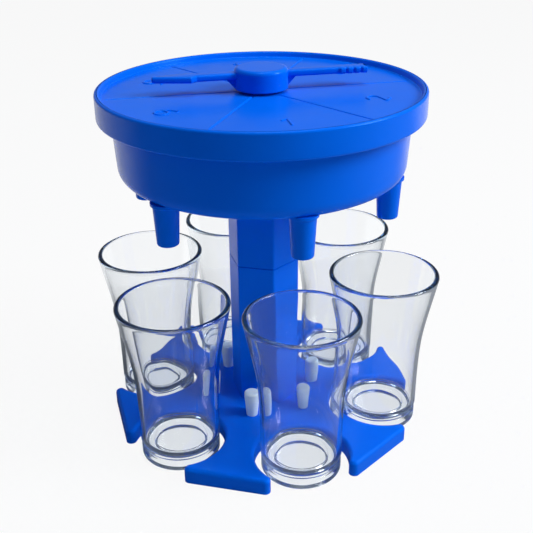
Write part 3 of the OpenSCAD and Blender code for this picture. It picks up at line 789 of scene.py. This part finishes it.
def makeCamera(s):
    data = bpy.data.cameras.new("camera")
    data.sensor_width, data.lens = 36.0, s["lens"]
    camera = placed("camera", data)
    d, h, r = (math.radians(s[k]) for k in ("down", "heading", "roll"))
    ahead = np.array([-math.sin(h) * math.cos(d), math.cos(h) * math.cos(d), -math.sin(d)])
    right = np.array([math.cos(h), math.sin(h), 0])
    up = np.cross(right, ahead)
    right, up = math.cos(r) * right + math.sin(r) * up, -math.sin(r) * right + math.cos(r) * up
    matrix = np.eye(4)
    matrix[:3, 0], matrix[:3, 1], matrix[:3, 2], matrix[:3, 3] = right, up, -ahead, s["at"]
    camera.matrix_world = Matrix(matrix.tolist())
    bpy.context.scene.camera = camera


makeCamera(shot)


def softbox(name, at, target, size, watts):
    data = bpy.data.lights.new(name, "AREA")
    data.shape, data.size, data.size_y, data.energy = "RECTANGLE", size[0], size[1], watts
    lamp = placed(name, data)
    lamp.location = at
    lamp.rotation_mode = "QUATERNION"
    lamp.rotation_quaternion = (Vector(target) - Vector(at)).to_track_quat("-Z", "Y")


softbox("keyLight", (0.744, -0.367, 0.67), (0, 0, 0.11), (0.40, 0.45), 9.2)
softbox("topLight", (0.10, -0.05, 1.10), (0, 0, 0.10), (0.45, 0.45), 4.2)

room = {
    "low": 0.14, "high": 0.30, "rise": (0.15, 0.85), "tint": (0.72, 0.86, 1, 1),
    "fall": 2.0, "edge": (0.1, 0.6), "backdrop": 0.9, "mirrored": 0.2,
}


def backdropShare(tree, ray, way, edge, most, mirrored):
    # How far a ray goes to the white backdrop: all the way when looked at, and up to most when it is
    # refracted towards the back, of which a mirrored ray takes only a part
    back = spread(tree, way, *edge, 0, most, interpolation_type="SMOOTHSTEP")
    bent = arithmetic(tree, "MULTIPLY_ADD", ray["Is Glossy Ray"], mirrored, ray["Is Transmission Ray"])
    return arithmetic(tree, "MAXIMUM", ray["Is Camera Ray"], arithmetic(tree, "MULTIPLY", bent, back))


def makeWorld(w):
    world = bpy.data.worlds.new("studio")
    bpy.context.scene.world = world
    world.use_nodes = True
    tree = world.node_tree
    tree.nodes.clear()
    link = tree.links.new
    where = nodeOf(tree, "ShaderNodeTexCoord")
    parts = nodeOf(tree, "ShaderNodeSeparateXYZ")
    link(where.outputs["Generated"], parts.inputs[0])
    up, back = parts.outputs["Z"], parts.outputs["Y"]
    dim = nodeOf(tree, "ShaderNodeBackground", Color=w["tint"])
    rise = spread(tree, up, *w["rise"], w["low"], w["high"], interpolation_type="SMOOTHSTEP")
    link(rise, dim.inputs["Strength"])
    white = nodeOf(tree, "ShaderNodeBackground", Color=(1, 1, 1, 1), Strength=1.0)
    # The backdrop stands behind and is low: it ends where a ray rises too fast for its way back
    way = arithmetic(tree, "MULTIPLY_ADD", up, -w["fall"], back)
    ray = nodeOf(tree, "ShaderNodeLightPath").outputs
    share = backdropShare(tree, ray, way, w["edge"], w["backdrop"], w["mirrored"])
    out = nodeOf(tree, "ShaderNodeOutputWorld")
    link(shaderMix(tree, share, dim.outputs[0], white.outputs[0]), out.inputs["Surface"])


makeWorld(room)

paleFloor = {
    "colour": (0.60, 0.62, 0.66, 1), "roughness": 0.6, "specular": 0.1, "white": 0.92, "mirrored": 0.4,
    "edge": (0.05, 0.25), "rings": (0, 100, 300, 1000, 3000), "around": 96, "under": 0.05,
}


def makeFloor(f):
    # Rings of a flat disc: pale and matt under the lamps, mixed with plain white where it is looked at
    m, tree, link, where, skin = newMaterial("paleFloor")
    skin.inputs["Base Color"].default_value = f["colour"]
    skin.inputs["Roughness"].default_value = f["roughness"]
    skin.inputs["Specular IOR Level"].default_value = f["specular"]
    parts = nodeOf(tree, "ShaderNodeSeparateXYZ")
    link(where.outputs["Object"], parts.inputs[0])
    ray = nodeOf(tree, "ShaderNodeLightPath").outputs
    share = backdropShare(tree, ray, parts.outputs["Y"], f["edge"], 1.0, 1.0)
    # What is mirrored in the cups is the floor under its lamps, what is seen through them is the white
    direct = arithmetic(tree, "LESS_THAN", ray["Glossy Depth"], 0.5)
    through = arithmetic(tree, "MULTIPLY", ray["Is Transmission Ray"], direct)
    part = arithmetic(tree, "MULTIPLY", arithmetic(tree, "MAXIMUM", share, through), f["white"])
    # A mirrored floor is dimmer than the floor itself, as the camera's side of the room is dark
    dull = arithmetic(tree, "MULTIPLY", ray["Is Glossy Ray"], 1 - f["mirrored"])
    dark = nodeOf(tree, "ShaderNodeEmission", Strength=0.0)
    glow = nodeOf(tree, "ShaderNodeEmission", Strength=1.0)
    under = shaderMix(tree, dull, skin.outputs[0], dark.outputs[0])
    link(shaderMix(tree, part, under, glow.outputs[0]), tree.nodes["Material Output"].inputs["Surface"])
    t = np.linspace(0, 2 * math.pi, f["around"], endpoint=False)[:, None]
    r = np.array(f["rings"], float)[None]
    points = np.stack([r * np.cos(t), r * np.sin(t), np.full((f["around"], r.size), -f["under"])], -1)
    mesh = bpy.data.meshes.new("floor")
    faces = gridFaces(f["around"], r.size, True, False)
    mesh.from_pydata((points.reshape(-1, 3) * mm).tolist(), [], faces.tolist())
    mesh.materials.append(m)
    placed("floor", mesh)


makeFloor(paleFloor)
bpy.context.scene.view_settings.view_transform = "Standard"
bounces = 48                        # light runs a long way round a cup's lip
tracer = bpy.context.scene.cycles
tracer.max_bounces = tracer.glossy_bounces = tracer.transmission_bounces = bounces
tracer.blur_glossy = 0.0            # so that the cups let the lamps through undimmed
print("stage set")
